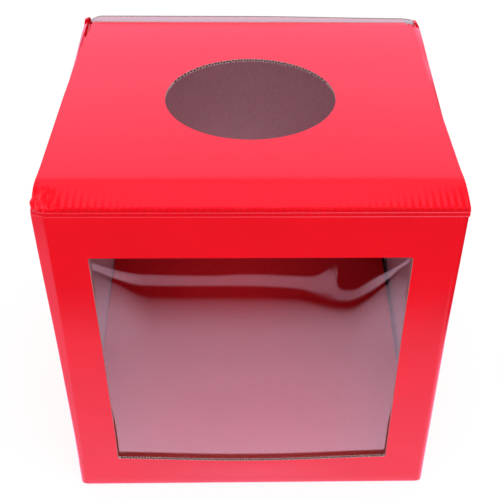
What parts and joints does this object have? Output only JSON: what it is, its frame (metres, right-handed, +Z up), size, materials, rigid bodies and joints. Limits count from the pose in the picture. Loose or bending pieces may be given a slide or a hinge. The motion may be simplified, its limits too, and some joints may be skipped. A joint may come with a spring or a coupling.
{
  "type": "raffle box",
  "caption": "Folding corrugated-card cube box with a hinged tuck lid, a round hand hole in the lid, a clear film window in the front wall and a loose base board.",
  "frame": {"origin": "on the ground under the middle of the box", "axes": "+Z up, the window wall faces -Y, +X to the right seen from the front"},
  "size_m": [0.2, 0.2, 0.203],
  "materials": {
    "red_card": "gloss-laminated red print over corrugated board",
    "red_card_inside": "gloss-laminated red print",
    "liner_card": "uncoated pale grey liner",
    "clear_film": "clear glossy film",
    "adhesive": "double-sided adhesive strip"
  },
  "bodies": {
    "walls": {"front_panel": "red_card", "front_fold": "red_card", "left_panel": "red_card", "right_panel": "red_card", "back_panel": "red_card", "seam_tab": "liner_card", "window_film": "clear_film", "film_tape_top": "adhesive", "film_tape_bottom": "adhesive", "film_tape_left": "adhesive", "film_tape_right": "adhesive", "bottom_dust_flap_left": "liner_card", "bottom_dust_flap_right": "liner_card"},
    "spine": {"lid_spine": "red_card"},
    "lid": {"lid_panel": "red_card"},
    "lid_tuck": {"lid_tuck_flap": "red_card"},
    "dust_flap_left": {"top_dust_flap_left": "liner_card"},
    "dust_flap_right": {"top_dust_flap_right": "liner_card"},
    "bottom": {"bottom_panel": "red_card"},
    "bottom_tuck": {"bottom_tuck_flap": "red_card"},
    "base": {"base_board": "red_card_inside"}
  },
  "joints": [
    {"name": "lid_upper_crease", "type": "hinge", "parent": "spine", "child": "lid", "pos_m": [0, -0.1, 0.19365], "axis": [1, 0, 0], "range_deg": [0, 100]},
    {"name": "lid_lower_crease", "type": "hinge", "parent": "walls", "child": "spine", "pos_m": [0, -0.1, 0.19145], "axis": [1, 0, 0], "range_deg": [0, 100]},
    {"name": "lid_tuck_crease", "type": "hinge", "parent": "lid", "child": "lid_tuck", "pos_m": [0, 0.0931, 0.1984], "axis": [-1, 0, 0], "range_deg": [0, 30]},
    {"name": "dust_crease_left", "type": "hinge", "parent": "walls", "child": "dust_flap_left", "pos_m": [-0.0972, 0, 0.1965], "axis": [0, 1, 0], "range_deg": [0, 75]},
    {"name": "dust_crease_right", "type": "hinge", "parent": "walls", "child": "dust_flap_right", "pos_m": [0.0972, 0, 0.1965], "axis": [0, -1, 0], "range_deg": [0, 75]},
    {"name": "bottom_crease", "type": "hinge", "parent": "walls", "child": "bottom", "pos_m": [0, -0.09735, 0], "axis": [-1, 0, 0], "range_deg": [0, 120]},
    {"name": "bottom_tuck_crease", "type": "hinge", "parent": "bottom", "child": "bottom_tuck", "pos_m": [0, 0.0947, 0.0016], "axis": [1, 0, 0], "range_deg": [0, 12]},
    {"name": "base_lift", "type": "slide", "parent": "walls", "child": "base", "axis": [0, 0, 1], "range_m": [0, 0.115]}
  ],
  "couplings": [
    {"joint": "lid_upper_crease", "follows": "lid_lower_crease", "ratio": 1}
  ]
}
